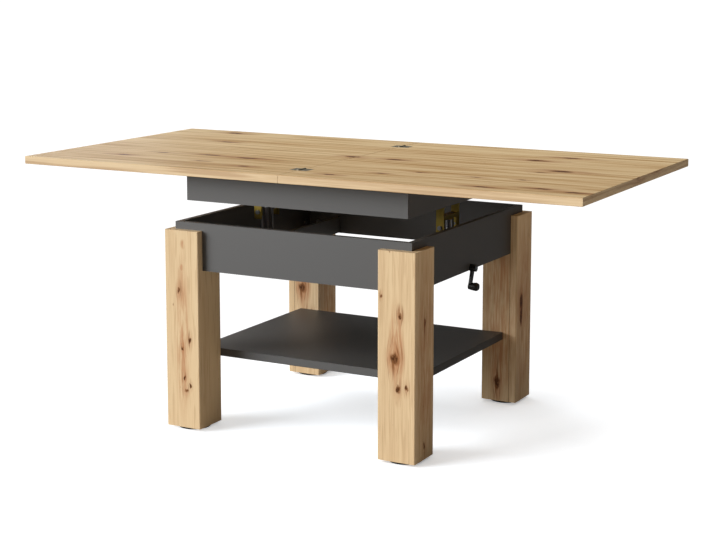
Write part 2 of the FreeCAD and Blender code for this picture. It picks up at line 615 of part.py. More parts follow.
def make_gear_case(side, sign):
    """Cast case on the cross rail with lugs for the guide rods, and its screwed cover."""
    middle = f"{sign} * {SPINDLE_X}"
    xs = about(middle, f"{size.case_length} / 2")
    ys = about("0", f"{size.case_width} / 2")
    outer_end = f"{CASE_OUT} + 1" if sign > 0 else SPINDLE_X
    shafts = on_side(sign, f"{FLANGE_IN} - 1", outer_end)
    lower = [
        box(f"gear_case_{side}_block", xs, ys, (CASE_BOTTOM, DRIVE_Z)),
        box(f"gear_case_{side}_neck", on_side(sign, FLANGE_IN, CASE_IN),
            about("0", f"{size.case_neck_width} / 2"), (CASE_BOTTOM, DRIVE_Z)),
        box(f"gear_case_{side}_flange", on_side(sign, FLANGE_IN, FLANGE_OUT),
            about("0", f"{size.flange_width} / 2"), (CASE_BOTTOM, f"{DRIVE_Z} + {size.flange_rise}")),
        box(f"gear_case_{side}_lugs", about(middle, f"{size.wing_width} / 2"),
            about("0", f"{size.rod_offset} + {size.wing_edge}"),
            (f"{DRIVE_Z} - {size.wing_height}", DRIVE_Z)),
    ]
    room = case_tools(f"gear_case_{side}", middle, shafts)
    for end, sign_y in ENDS:
        room.append(round_bar(f"gear_case_{side}_rod_hole_{end}", "Z", size.rod_radius,
                              (f"{DRIVE_Z} - {size.wing_height} + 1", f"{DRIVE_Z} + 1"),
                              (middle, f"{sign_y} * {size.rod_offset}")))
    keep(cut(f"gear_case_{side}", joined(f"gear_case_{side}_cast", lower), room))
    lid = box(f"gear_cover_{side}_block", xs, ys, (DRIVE_Z, CASE_TOP))
    keep(cut(f"gear_cover_{side}", lid, case_tools(f"gear_cover_{side}", middle, shafts)))


def make_thrust_washer(side, sign):
    """Washer between the gear cover and the shoulder of the spindle."""
    middle = f"{sign} * {SPINDLE_X}"
    disc = round_bar(f"thrust_washer_{side}_disc", "Z", size.washer_radius, (CASE_TOP, SHOULDER),
                     (middle, "0"))
    hole = round_bar(f"thrust_washer_{side}_hole", "Z", f"{size.journal_radius} + {size.bearing_gap}",
                     (f"{CASE_TOP} - 1", f"{SHOULDER} + 1"), (middle, "0"))
    return cut(f"thrust_washer_{side}", disc, [hole])


def make_spindle(side, sign):
    """Lift spindle: thread above its shoulder, plain journal through the gear case."""
    middle = f"{sign} * {SPINDLE_X}"
    thread = round_bar(f"spindle_{side}_thread", "Z", size.spindle_radius, (SHOULDER, SPINDLE_TOP),
                       (middle, "0"))
    journal = round_bar(f"spindle_{side}_journal", "Z", size.journal_radius,
                        (f"{CASE_BOTTOM} + {size.case_wall} / 2", SHOULDER), (middle, "0"))
    keep(joined(f"spindle_{side}", [thread, journal]))


def mitre_gear(bore):
    """Straight mitre gear about +Z with the tip of its pitch cone at the origin."""
    teeth = int(value(size.gear_teeth))
    radius = value(size.gear_radius)
    slope = math.sqrt(0.5)
    scale = 1 - value(size.gear_face) * slope / radius
    pressure = math.tan(math.radians(20))
    half_tooth = math.pi * radius / teeth / 2 - value(size.gear_backlash) / 2
    overlap = value(size.gear_backlash)

    def end_of_tooth(height, side):
        reach = radius + height * slope
        half = half_tooth - height * pressure
        return FreeCAD.Vector(reach, side * half, radius - height * slope)

    heights = (-value(size.gear_dedendum) - overlap, value(size.gear_addendum))
    large = [end_of_tooth(heights[0], -1), end_of_tooth(heights[1], -1),
             end_of_tooth(heights[1], 1), end_of_tooth(heights[0], 1)]
    small = [corner * scale for corner in large]
    tooth = Part.makeLoft([Part.makePolygon(ring + ring[:1]) for ring in (large, small)], True, True)
    root = radius - value(size.gear_dedendum) * slope
    back = radius + value(size.gear_dedendum) * slope
    hub = back + value(size.gear_hub)
    hub_radius = value(size.gear_hub_radius)
    section = [(bore, back * scale), (root * scale, back * scale), (root, back), (hub_radius, back),
               (hub_radius, hub), (bore, hub)]
    ring = Part.makePolygon([FreeCAD.Vector(r, 0, z) for r, z in section + section[:1]])
    blank = Part.Face(ring).revolve(FreeCAD.Vector(), FreeCAD.Vector(0, 0, 1), 360)
    copies = []
    for index in range(teeth):
        copies.append(tooth.rotated(FreeCAD.Vector(), FreeCAD.Vector(0, 0, 1), index * 360 / teeth))
    return blank.fuse(copies).removeSplitter()


def set_gear(name, shape, apex_x, direction, turn):
    """Gear with its cone tip on the drive axis, facing away along a direction."""
    gear = doc.addObject("Part::Feature", name)
    gear.Shape = shape
    spin = FreeCAD.Rotation(FreeCAD.Vector(0, 0, 1), turn)
    face = FreeCAD.Rotation(FreeCAD.Vector(0, 0, 1), FreeCAD.Vector(*direction))
    apex = FreeCAD.Vector(value(apex_x), 0, value(DRIVE_Z))
    gear.Placement = FreeCAD.Placement(apex, face.multiply(spin))
    return gear


def make_drive():
    """Crank shaft, cross shaft, and five equal mitre gears that turn both spindles."""
    half_pitch = 180 / value(size.gear_teeth)
    spindle_wheel = mitre_gear(value(size.journal_radius))
    shaft_wheel = mitre_gear(value(size.shaft_radius))
    face_in = f"({size.gear_radius} - {size.gear_face} * sqrt(0.5) + {size.gear_dedendum})"
    for side, sign in SIDES:
        make_spindle(side, sign)
        apex = f"{sign} * {SPINDLE_X}"
        keep(set_gear(f"spindle_gear_{side}", spindle_wheel, apex, (0, 0, -1), half_pitch))
    keep(round_bar("crank_shaft", "X", size.shaft_radius, (f"{SPINDLE_X} + {face_in}", CRANK_OUT),
                   ("0", DRIVE_Z)))
    keep(set_gear("crank_gear", shaft_wheel, SPINDLE_X, (1, 0, 0), 0))
    keep(round_bar("cross_shaft", "X", size.shaft_radius, about("0", f"{SPINDLE_X} - {face_in}"),
                   ("0", DRIVE_Z)))
    pair = [set_gear(f"cross_gear_{side}", shaft_wheel, f"{sign} * {SPINDLE_X}", (-sign, 0, 0), 0)
            for side, sign in SIDES]
    keep(group("cross_gears", pair))


def arm_corner(middle, across):
    """Corner of the crank arm, set off square to the arm from a point on its middle line."""
    y, z = middle
    angle = size.crank_angle
    return f"{y} + ({across}) * cos({angle})", f"{z} - ({across}) * sin({angle})"


def make_crank():
    """Bush in the end panel, crank arm, its pin and the turning knob."""
    radius = size.crank_bush_radius
    inside = (FRAME_IN_X, FRAME_X)
    bush = joined("crank_bush_blank", [
        round_bar("crank_bush_crown", "X", radius, inside, ("0", DRIVE_Z)),
        box("crank_bush_foot", inside, about("0", radius), (FRAME_BOTTOM, DRIVE_Z)),
        round_bar("crank_bush_collar", "X", size.crank_bush_flange, (FRAME_X, BUSH_FACE), ("0", DRIVE_Z)),
    ])
    bore = round_bar("crank_bush_bore", "X", f"{size.shaft_radius} + {size.bearing_gap}",
                     (f"{FRAME_IN_X} - 1", f"{BUSH_FACE} + 1"), ("0", DRIVE_Z))
    keep(cut("crank_bush", bush, [bore]))

    axis = ("0", DRIVE_Z)
    pin_axis = (CRANK_PIN_Y, CRANK_PIN_Z)
    blade = extruded("crank_blade", "YZ", [
        arm_corner(axis, f"-{size.crank_root} / 2"), arm_corner(axis, f"{size.crank_root} / 2"),
        arm_corner(pin_axis, f"{size.crank_waist} / 2"), arm_corner(pin_axis, f"-{size.crank_waist} / 2"),
    ], (CRANK_IN, ARM_OUT))
    hub = round_bar("crank_hub", "X", size.crank_hub_radius, (CRANK_IN, CRANK_OUT), axis)
    eye = round_bar("crank_eye", "X", size.crank_eye_radius, (CRANK_IN, ARM_OUT), pin_axis)
    through = (f"{CRANK_IN} - 1", f"{CRANK_OUT} + 1")
    shaft_hole = round_bar("crank_arm_shaft_hole", "X", size.shaft_radius, through, axis)
    pin_hole = round_bar("crank_arm_pin_hole", "X", size.knob_pin_radius, through, pin_axis)
    keep(cut("crank_arm", joined("crank_arm_forged", [blade, hub, eye]), [shaft_hole, pin_hole]))
    pin_end = f"{KNOB_OUT} - {size.knob_end}"
    keep(round_bar("knob_pin", "X", size.knob_pin_radius, (CRANK_IN, pin_end), pin_axis))
    make_knob(pin_end)


def make_knob(pin_end):
    """Turned knob, widest before its rounded end, with a blind bore for its pin."""
    knob = doc.addObject("PartDesign::Body", "crank_knob")
    bore = f"{size.knob_pin_radius} + {size.bearing_gap}"
    shoulder = f"{size.knob_length} - {size.knob_end}"
    depth = f"{pin_end} - ({KNOB_IN}) + {size.knob_gap}"
    points = [("0", bore), ("0", size.knob_neck_radius), (shoulder, size.knob_radius),
              (size.knob_length, f"{size.knob_radius} - {size.knob_end} / 2"), (size.knob_length, "0"),
              (depth, "0"), (depth, bore)]
    profile = outline(knob, "crank_knob_profile", "XY_Plane", points)
    turned = knob.newObject("PartDesign::Revolution", "crank_knob_turned")
    turned.Profile = profile
    turned.ReferenceAxis = (profile, ["H_Axis"])
    turned.Angle = 360
    knob.Tip = turned
    place(knob, KNOB_IN, CRANK_PIN_Y, CRANK_PIN_Z)
    keep(knob)


def make_lift():
    """Both lift units, mirror images of each other."""
    nuts = []
    rods = []
    bushes = []
    bolts = []
    washers = []
    for side, sign in SIDES:
        make_yoke(side, sign)
        make_crosshead(side, sign)
        make_gear_case(side, sign)
        nuts.append(make_lift_nut(side, sign))
        washers.append(make_thrust_washer(side, sign))
        bolts += make_yoke_bolts(side, sign)
        side_rods, side_bushes = make_guides(side, sign)
        rods += side_rods
        bushes += side_bushes
    keep(group("lift_nuts", nuts))
    keep(group("thrust_washers", washers))
    keep(group("guide_rods", rods))
    keep(group("guide_bushes", bushes))
    keep(group("yoke_bolts", bolts))


def write_nodes():
    """Stop on anything that failed, then write one file for each node."""
    for thing in doc.Objects:
        if "Invalid" in thing.State or "Error" in thing.State:
            raise RuntimeError(f"{thing.Label} did not build")
    for piece in nodes:
        if piece.Shape.isNull() or not piece.Shape.isValid() or not piece.Shape.Solids:
            raise RuntimeError(f"{piece.Label} is not a valid solid")
    os.makedirs("parts", exist_ok=True)
    for piece in nodes:
        piece.Shape.exportStep(f"parts/{piece.Label}.step")
    print(len(nodes), "nodes written")


make_legs()
make_lower_frame()
make_shelf()
make_upper_frame()
make_runners()
make_top()
make_lift()
make_drive()
make_crank()
doc.recompute()
write_nodes()
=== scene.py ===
"""Looks of a convertible coffee and dining table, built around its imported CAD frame.

The table stands raised and unfolded. Lengths are in metres, +X runs along the unfolded top,
+Y to the back and +Z up from the floor.
"""

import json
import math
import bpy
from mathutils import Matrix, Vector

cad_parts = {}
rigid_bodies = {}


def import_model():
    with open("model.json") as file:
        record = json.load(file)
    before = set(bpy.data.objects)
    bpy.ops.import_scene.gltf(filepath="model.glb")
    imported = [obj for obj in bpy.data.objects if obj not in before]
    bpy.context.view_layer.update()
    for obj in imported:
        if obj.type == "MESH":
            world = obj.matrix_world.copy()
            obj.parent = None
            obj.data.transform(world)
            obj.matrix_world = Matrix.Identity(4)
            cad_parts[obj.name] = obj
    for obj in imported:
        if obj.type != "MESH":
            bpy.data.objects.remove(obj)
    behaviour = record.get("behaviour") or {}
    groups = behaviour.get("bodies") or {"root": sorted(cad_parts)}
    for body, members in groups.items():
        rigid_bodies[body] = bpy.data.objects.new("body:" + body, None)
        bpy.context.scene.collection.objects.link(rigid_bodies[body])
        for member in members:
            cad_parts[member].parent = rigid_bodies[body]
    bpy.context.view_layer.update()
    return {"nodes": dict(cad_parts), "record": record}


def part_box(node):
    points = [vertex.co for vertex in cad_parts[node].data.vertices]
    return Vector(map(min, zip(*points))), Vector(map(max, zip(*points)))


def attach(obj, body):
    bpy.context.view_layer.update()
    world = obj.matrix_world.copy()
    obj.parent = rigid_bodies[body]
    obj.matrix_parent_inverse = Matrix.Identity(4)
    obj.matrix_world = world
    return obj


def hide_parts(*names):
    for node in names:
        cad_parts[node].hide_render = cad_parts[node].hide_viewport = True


bl_info = {
    "name": "Convertible table looks",
    "version": (1, 0, 0),
    "blender": (4, 5, 0),
    "location": "View3D > Sidebar > Table",
    "description": "Finishes, fasteners and stage for a lift-top table with a folding oak top",
    "category": "Object",
}

import bpy
from bpy.props import FloatProperty, FloatVectorProperty, PointerProperty
from mathutils import Vector

for leftover in list(bpy.data.objects):
    bpy.data.objects.remove(leftover)
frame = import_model()

SIDES = (("right", 1), ("left", -1))
SIGNS = (-1, 1)
UP = (0, 0, 1)
WHITE = (1, 1, 1, 1)
MM = 0.001

# Smoothness of the round pieces: corners of a screw and of a spindle, thread rings for one pitch,
# and the edges that stay sharp
SCREW_CORNERS = 48
SPINDLE_CORNERS = 32
THREAD_RINGS = 8
SHARP_EDGE = math.radians(35)
THREAD_EDGE = math.radians(25)

# Tip of a spindle: reach as a share of its radius, and depth below its end
SPINDLE_TIP = ((0.8, 0.9 * MM), (0.7, 0.0))

# Finishes: the sRGB colour of the plain material and what it colours
PALETTE = {
    "oak_light": ("#D8BE92", "Pale wood between the streaks of the oak"),
    "oak_mid": ("#C9A97A", "Plain wood of the oak"),
    "oak_dark": ("#A2773F", "Dark streaks and lines of the oak"),
    "oak_foil": ("#CFC2AB", "Paler foil of the legs and edges"),
    # This reddish colour also paints shade: the widest broad flames of the legs put it on their shaded
    # sides, redder and darker.
    "oak_blush": ("#A2653A", "Broad reddish flames of the legs"),
    "oak_flame": ("#985A2F", "Flame round a knot"),
    "oak_knot": ("#74441A", "Rim of a knot and its cracks"),
    "oak_heart": ("#4A2706", "Heart of a knot and the joints of the legs"),
    "anthracite": ("#363636", "Dark grey paper of the frames and the shelf"),
    "anthracite_fleck": ("#3E3E3D", "Flecks of the dark grey paper"),
    "raw_light": ("#D2B183", "Early wood of the bare softwood"),
    "raw_dark": ("#B08A58", "Late wood of the bare softwood"),
    "zinc_gold": ("#A2823A", "Gold of the yellow passivated zinc"),
    "zinc_green": ("#908544", "Greenish clouds in the yellow zinc"),
    "steel": ("#9A9B9D", "Turned steel"),
    "steel_dark": ("#77787A", "Oil film on the turned steel"),
    "nickel": ("#A29B8A", "Satin nickel"),
    "nickel_dark": ("#8B8474", "Duller nickel"),
    "cast": ("#9EA0A2", "Tumbled zinc casting"),
    "cast_dark": ("#7C7E80", "Darker skin of the zinc casting"),
    "brass": ("#C39A4C", "Turned brass"),
    "brass_dark": ("#9B7734", "Duller brass"),
    "plastic": ("#161616", "Black polyamide"),
    "plastic_dark": ("#0E0E0E", "Pits of the black polyamide"),
    "paint": ("#17181A", "Black powder coat"),
    "paint_dark": ("#101112", "Pits of the powder coat"),
    "floor": ("#EEDFCE", "Floor as it lights the table"),
    "floor_seen": ("#EFF7FF", "Floor in the shadow, as the camera sees it"),
    "floor_mirrored": ("#8A8A8A", "Floor as the table mirrors it"),
}

# Larger knots of the printed oak: place along and across the grain, half length and half width in mm.
# Across the grain is y on the top, and x + y round the legs.
TOP_KNOTS = (
    (-640, 370, 30, 14), (-620, -260, 22, 10), (-550, -165, 20, 6), (-530, 150, 22, 10),
    (-390, -150, 30, 8), (-345, -275, 12, 6), (-260, -160, 34, 11), (-175, -315, 18, 8),
    (-10, 10, 22, 13), (115, -350, 18, 9), (125, 10, 25, 11), (220, -265, 14, 7), (305, -200, 12, 6),
    (475, -215, 16, 6), (485, 180, 30, 15), (555, 275, 30, 12), (560, -370, 24, 10), (590, -50, 16, 5),
    (605, -205, 13, 6), (635, -5, 34, 16), (710, -330, 24, 10), (800, -355, 30, 9),
)
LEG_KNOTS = (
    (115, -715, 7, 6), (130, -700, 6, 4), (150, -720, 6, 4), (235, -725, 7, 4), (260, -700, 9, 5),
    (400, -735, 9, 5), (205, -50, 13, 7), (210, -25, 8, 5), (285, -60, 17, 14), (400, -45, 9, 7),
    (450, -100, 5, 3), (45, 55, 12, 4), (375, 55, 14, 4), (65, 610, 24, 9), (265, 705, 30, 8),
    (310, 705, 22, 8),
)

# Broad reddish flames of the legs, measured in the same way. The three widest, across 60, 615 and 725, lie
# mostly on the shaded faces of the front right and back right legs. They are painted shade that makes those
# sides redder and darker.
LEG_FLAMES_AND_SHADE = (
    (270, -725, 290, 30), (465, -725, 16, 10), (530, -720, 18, 12), (310, -55, 160, 30),
    (270, 60, 380, 70), (270, 615, 380, 70), (270, 725, 420, 90),
)

# Printed oak: where each mask starts and where it is full, on its noise or in sizes of a knot
OAK_STEPS = {
    "line": (0.58, 0.72),
    "slit": (0.53, 0.64),
    "speck": (0.3, 0.5),
    "tongue": (0.3, 0.65),
    "blush_and_shade": (1.0, 0.3),
    "flame": (1.0, 0.1),
    "push": (1.0, 0.0),
    "rim": (1.25, 0.65),
    "heart": (0.95, 0.4),
}

# Its layers from the lowest up: mask, largest share and colour
OAK_LAYERS = (
    ("deep", 0.9, "oak_dark"),
    ("line", 0.85, "oak_dark"),
    ("foil", 1.0, "oak_foil"),
    # Reddish flames, partly painted shade on the shaded sides of the legs
    ("blush_and_shade", 0.65, "oak_blush"),
    ("flame", 0.5, "oak_flame"),
    ("crack", 0.85, "oak_knot"),
    ("rim", 0.8, "oak_knot"),
    ("heart", 0.95, "oak_heart"),
    ("joint", 0.8, "oak_heart"),
)

# Shares of its patterns in the tone, and the tones between which the light and the dark wood come in
TONE_SHARES = {"streak": 0.7, "fibre": 0.42, "plank": 0.16, "ring": 0.02}
PALE_TONES = (0.5, 0.8)
DEEP_TONES = (0.6, 0.36)

# Middle of a noise, the part of it that an even finish uses, and how far that moves the roughness
NOISE_MIDDLE = 0.5
NOISE_RANGE = (0.3, 0.7)
ROUGH_SPREAD = 0.1

# Distance, in sizes of a knot, at which every mask has ended
FAR = 100.0


def linear(code):
    """Scene-linear colour of an sRGB hex code."""
    channels = [int(code[index:index + 2], 16) / 255 for index in (1, 3, 5)]
    spread = [((c + 0.055) / 1.055) ** 2.4 if c > 0.04045 else c / 12.92 for c in channels]
    return (*spread, 1.0)


class PaletteLook(bpy.types.PropertyGroup):
    """Colours of the finishes and of the floor."""

    __annotations__ = {
        name: FloatVectorProperty(
            name=name.replace("_", " ").capitalize(), description=use,
            size=4, default=linear(code), min=0, max=1, subtype="COLOR")
        for name, (code, use) in PALETTE.items()
    }


class BoardLook(bpy.types.PropertyGroup):
    """Figure of the printed oak and grain of the plain laminate."""

    plank_width: FloatProperty(
        name="Plank width", description="Printed plank across the grain of the top",
        default=0.131, unit="LENGTH")
    fibre_size: FloatVectorProperty(
        name="Fibre", description="Fine fibre along and across the grain",
        size=2, default=(0.19, 0.0028), unit="LENGTH")
    streak_size: FloatVectorProperty(
        name="Streak", description="Broad colour streak along and across the grain",
        size=2, default=(0.8, 0.026), unit="LENGTH")
    ring_width: FloatProperty(
        name="Ring width", description="One growth ring across the grain",
        default=0.011, unit="LENGTH")
    wander_size: FloatVectorProperty(
        name="Ring bend", description="One bend of the growth rings along and across the grain",
        size=2, default=(0.4, 0.065), unit="LENGTH")
    ring_wander: FloatProperty(
        name="Ring wander", description="How far the growth rings wander",
        default=22.0, subtype="ANGLE")
    knot_step: FloatVectorProperty(
        name="Pin knot spacing", description="Room for one pin knot along and across the grain",
        size=2, default=(0.2, 0.085), unit="LENGTH")
    pin_knot: FloatProperty(
        name="Pin knot", description="Largest radius of a pin knot across the grain",
        default=0.003, unit="LENGTH")
    pin_chance: FloatProperty(
        name="Bare cells", description="Part of the pattern that has no pin knot",
        default=0.4, min=0, max=1)
    pin_edge: FloatProperty(
        name="Pin knot edge", description="Soft edge of a pin knot, in cells of the pattern",
        default=0.02, min=0)
    pin_dark: FloatProperty(
        name="Pin knot depth", description="How dark a pin knot gets", default=0.8, min=0, max=1)
    ragged_size: FloatVectorProperty(
        name="Ragged edge", description="Notches of a knot's edge along and across the grain",
        size=3, default=(0.02, 0.01, 0.0), unit="LENGTH")
    flame_size: FloatVectorProperty(
        name="Flame", description="Dark flame round a knot, along and across the grain, in knots",
        size=2, default=(4.6, 2.8))
    figure_push: FloatProperty(
        name="Figure push", description="How far the fibres part round a knot, in its flame's half width",
        default=0.8, min=0)
    speck_size: FloatVectorProperty(
        name="Speck", description="Light speck in the heart of a knot, along and across the grain",
        size=2, default=(0.012, 0.006), unit="LENGTH")
    crack_size: FloatVectorProperty(
        name="Crack size", description="Open crack along and across the grain",
        size=2, default=(0.09, 0.004), unit="LENGTH")
    line_size: FloatVectorProperty(
        name="Dark line", description="Long dark line along and across the grain",
        size=2, default=(0.5, 0.014), unit="LENGTH")
    leg_line_size: FloatVectorProperty(
        name="Leg line", description="Shorter dark line of the legs along and across the grain",
        size=2, default=(0.12, 0.007), unit="LENGTH")
    leg_streaks: FloatProperty(
        name="Leg streaks", description="Strength of the streaks on the legs beside those of the top",
        default=0.5, min=0, max=1)
    foil_pale: FloatProperty(
        name="Foil", description="How much paler the foil of the legs and edges is than the top",
        default=0.33, min=0, max=1)
    gloss_roughness: FloatProperty(
        name="Laminate roughness", description="Roughness of the matt laminate",
        default=0.52, min=0, max=1)
    resin_gloss: FloatProperty(
        name="Resin gloss", description="Strength of the reflection from the resin",
        default=1.0, min=0, max=1)
    oak_gloss: FloatProperty(
        name="Oak gloss", description="Strength of the reflection from the duller oak top",
        default=0.35, min=0, max=1)
    foil_gloss: FloatProperty(
        name="Foil gloss", description="Strength of the reflection from the foil of the legs",
        default=0.15, min=0, max=1)
    joint_width: FloatProperty(
        name="Leg joint", description="Dark line where two boards of a leg meet",
        default=0.0015, unit="LENGTH")
    pore_depth: FloatProperty(
        name="Pore depth", description="Depth of the pores pressed into the laminate",
        default=0.00006, unit="LENGTH")
    pore_strength: FloatProperty(
        name="Pore strength", description="How strongly the pores show", default=0.35, min=0, max=1)
    speck_strength: FloatProperty(
        name="Speck strength", description="How strongly the relief of an even finish shows",
        default=0.3, min=0, max=1)


class HardwareLook(bpy.types.PropertyGroup):
    """Sizes of the thread and the fasteners."""

    thread_pitch: FloatProperty(
        name="Thread pitch", description="Distance between two turns of the spindle thread",
        default=0.004, unit="LENGTH")
    thread_depth: FloatProperty(
        name="Thread depth", description="Depth of the spindle thread", default=0.0013, unit="LENGTH")
    thread_lead: FloatProperty(
        name="Thread lead", description="Lift for one turn of the two-start spindle",
        default=0.008, unit="LENGTH")
    thread_flank: FloatProperty(
        name="Thread flank", description="Steepness of the thread's flanks, where 1 is a plain V",
        default=2.2, min=1)
    thread_end: FloatProperty(
        name="Thread end", description="Plain length at each end of the thread",
        default=0.001, unit="LENGTH")
    journal_share: FloatProperty(
        name="Journal", description="Radius of a spindle's journal beside that of its thread",
        default=0.75, min=0, max=1)
    hinge_screw: FloatProperty(
        name="Hinge screw", description="Radius of a countersunk hinge screw",
        default=0.0034, unit="LENGTH")
    hinge_screw_share: FloatVectorProperty(
        name="Hinge screw place", description="Screw in its plate, as shares of its reach and half length",
        size=2, default=(0.66, 0.6))
    wood_screw: FloatProperty(
        name="Wood screw", description="Radius of a pan head wood screw", default=0.0042, unit="LENGTH")
    yoke_sheet: FloatProperty(
        name="Yoke sheet", description="Thickness of the sheet of a yoke", default=0.003, unit="LENGTH")
    yoke_screw_aside: FloatProperty(
        name="Yoke screw aside", description="Yoke screw from the middle of the yoke",
        default=0.03, unit="LENGTH")
    yoke_screw_drops: FloatVectorProperty(
        name="Yoke screw drops", description="The two rows of yoke screws below the top of the yoke",
        size=2, default=(0.014, 0.056), unit="LENGTH")
    flange_sheet: FloatProperty(
        name="Flange", description="Thickness of the flange of a gear case", default=0.004, unit="LENGTH")
    flange_screw_aside: FloatProperty(
        name="Flange screw aside", description="Flange screw from the middle of the gear case",
        default=0.026, unit="LENGTH")
    flange_screw_drops: FloatVectorProperty(
        name="Flange screw drops", description="The two rows of flange screws below the top of the case",
        size=2, default=(0.008, 0.034), unit="LENGTH")
    cover_screw: FloatProperty(
        name="Cover screw", description="Radius of a gear cover screw", default=0.0026, unit="LENGTH")
    cover_screw_inset: FloatVectorProperty(
        name="Cover screw inset", description="Cover screw from the edges of the cover",
        size=2, default=(0.005, 0.004), unit="LENGTH")
    leg_bolt: FloatProperty(
        name="Leg bolt", description="Radius of the flat head of a leg bolt",
        default=0.0075, unit="LENGTH")
    leg_bolt_height: FloatProperty(
        name="Leg bolt height", description="Height of the flat head of a leg bolt",
        default=0.0025, unit="LENGTH")
    leg_bolt_inset: FloatProperty(
        name="Leg bolt inset", description="Leg bolt from the inner corner of the lower frame",
        default=0.03, unit="LENGTH")
    leg_bolt_rises: FloatVectorProperty(
        name="Leg bolt rises", description="The two rows of leg bolts above the foot of the lower frame",
        size=2, default=(0.03, 0.085), unit="LENGTH")


class StageLook(bpy.types.PropertyGroup):
    """Floor, light and camera."""

    floor_half: FloatProperty(
        name="Floor", description="Half width of the floor", default=14, unit="LENGTH")
    key_azimuth: FloatProperty(
        name="Key direction", description="Key light to the left of straight ahead",
        default=math.radians(46), subtype="ANGLE")
    key_height: FloatProperty(
        name="Key height", description="Key light above the horizon",
        default=math.radians(26), subtype="ANGLE")
    key_spread: FloatProperty(
        name="Key spread", description="Angle that the key light fills as seen from the table",
        default=math.radians(40), subtype="ANGLE")
    key_strength: FloatProperty(
        name="Key strength", description="Key light in watts on a square metre", default=3.95, min=0)
    key_distance: FloatProperty(
        name="Key distance", description="Distance at which the key light is drawn", default=5.0,
        unit="LENGTH")
    aim: FloatVectorProperty(
        name="Aim", description="Point that every light faces", size=3, default=(0.0, 0.0, 0.5),
        unit="LENGTH")
    fill: FloatProperty(
        name="Fill", description="Light of the white room on the object", default=0.16, min=0)
    sheen: FloatProperty(
        name="Sheen", description="White room as mirrored by the object", default=0.07, min=0)
    ceiling_place: FloatVectorProperty(
        name="Ceiling light", description="Place of the soft light above the table", size=3,
        default=(0.0, 0.6, 4.0), unit="LENGTH")
    ceiling_width: FloatProperty(
        name="Ceiling width", description="Side of the ceiling light", default=3.0, unit="LENGTH")
    ceiling_power: FloatProperty(
        name="Ceiling power", description="Ceiling light in watts", default=58, unit="POWER")
    rim_place: FloatVectorProperty(
        name="Rim light", description="Place of the soft light behind the left end", size=3,
        default=(-4.2, 3.4, 1.3), unit="LENGTH")
    rim_width: FloatProperty(
        name="Rim width", description="Side of the rim light", default=2.0, unit="LENGTH")
    rim_power: FloatProperty(
        name="Rim power", description="Rim light in watts", default=37, unit="POWER")
    floor_lift: FloatProperty(
        name="Floor lift", description="White added to the floor as the camera sees it",
        default=0.61, min=0)
    floor_shade: FloatProperty(
        name="Floor shade", description="How much of the floor's own shading the camera sees",
        default=1.166, min=0)
    # The lower white lift right under the legs paints a contact shadow on the floor, where ambient
    # occlusion finds a leg near.
    contact_shadow_lift: FloatProperty(
        name="Contact lift", description="White added right under the legs", default=0.3, min=0)
    contact_shadow_reach: FloatProperty(
        name="Contact reach", description="Reach of the dark contact round a leg",
        default=0.2, unit="LENGTH")
    shadow_middle: FloatVectorProperty(
        name="Shadow middle", description="Middle of the floor shadow that the camera sees", size=3,
        default=(0.12, 0.05, 0.0), unit="LENGTH")
    shadow_reach: FloatVectorProperty(
        name="Shadow reach", description="Where the floor shadow starts to fade, and where it ends", size=2,
        default=(0.45, 0.85), unit="LENGTH")
    plain_white: FloatProperty(
        name="White", description="Plain white of the room, and of the floor beyond the shadow",
        default=1.1, min=0)
    camera_place: FloatVectorProperty(
        name="Camera", description="Place of the camera", size=3,
        default=(2.1807, -4.0115, 1.3226), unit="LENGTH")
    camera_yaw: FloatProperty(
        name="Camera yaw", description="Camera turned to the left", default=math.radians(28.405),
        subtype="ANGLE")
    camera_pitch: FloatProperty(
        name="Camera pitch", description="Camera tipped down", default=math.radians(8.1),
        subtype="ANGLE")
    lens: FloatProperty(name="Lens", description="Focal length in millimetres", default=80.77)
    shift: FloatProperty(name="Shift", description="Vertical shift of the lens", default=-0.12)


def tint(name):
    """Scene-linear colour that the palette holds for a finish."""
    return tuple(getattr(bpy.context.scene.palette_look, name))


def add(tree, kind, *values, named=None, **settings):
    """Add a shader node with its settings; values fill its inputs in order, named ones by key."""
    made = tree.nodes.new(f"ShaderNode{kind}")
    for setting, choice in settings.items():
        setattr(made, setting, choice)
    for key, value in [*enumerate(values), *(named or {}).items()]:
        if isinstance(value, bpy.types.Node):
            value = value.outputs[0]
        if isinstance(value, bpy.types.NodeSocket):
            tree.links.new(value, made.inputs[key])
        else:
            made.inputs[key].default_value = value
    return made


def new_material(name):
    """Empty material, its tree and its surface shader."""
    material = bpy.data.materials.new(name)
    material.use_nodes = True
    tree = material.node_tree
    return material, tree, tree.nodes["Principled BSDF"]


def board_plane(tree, grain):
    """Coordinates along and across the grain on every face of a board, and where its foil is."""
    place = add(tree, "TexCoord")
    x, y, z = add(tree, "SeparateXYZ", place.outputs["Object"]).outputs
    if grain == "Z":
        return z, add(tree, "Math", x, y, operation="ADD"), 1.0
    z = add(tree, "Math", z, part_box("leaf_right")[1].z, operation="SUBTRACT")
    facing = add(tree, "VectorMath", place.outputs["Normal"], operation="ABSOLUTE")
    endways, _, level = add(tree, "SeparateXYZ", facing).outputs
    end = add(tree, "Math", endways, 0.5, operation="GREATER_THAN")
    edge = add(tree, "Math", 1.0, level, operation="SUBTRACT")
    along = add(tree, "Mix", end, named={2: x, 3: y})
    rise = add(tree, "Math", y, z, operation="ADD")
    return along, add(tree, "Mix", end, named={2: rise, 3: z}), edge


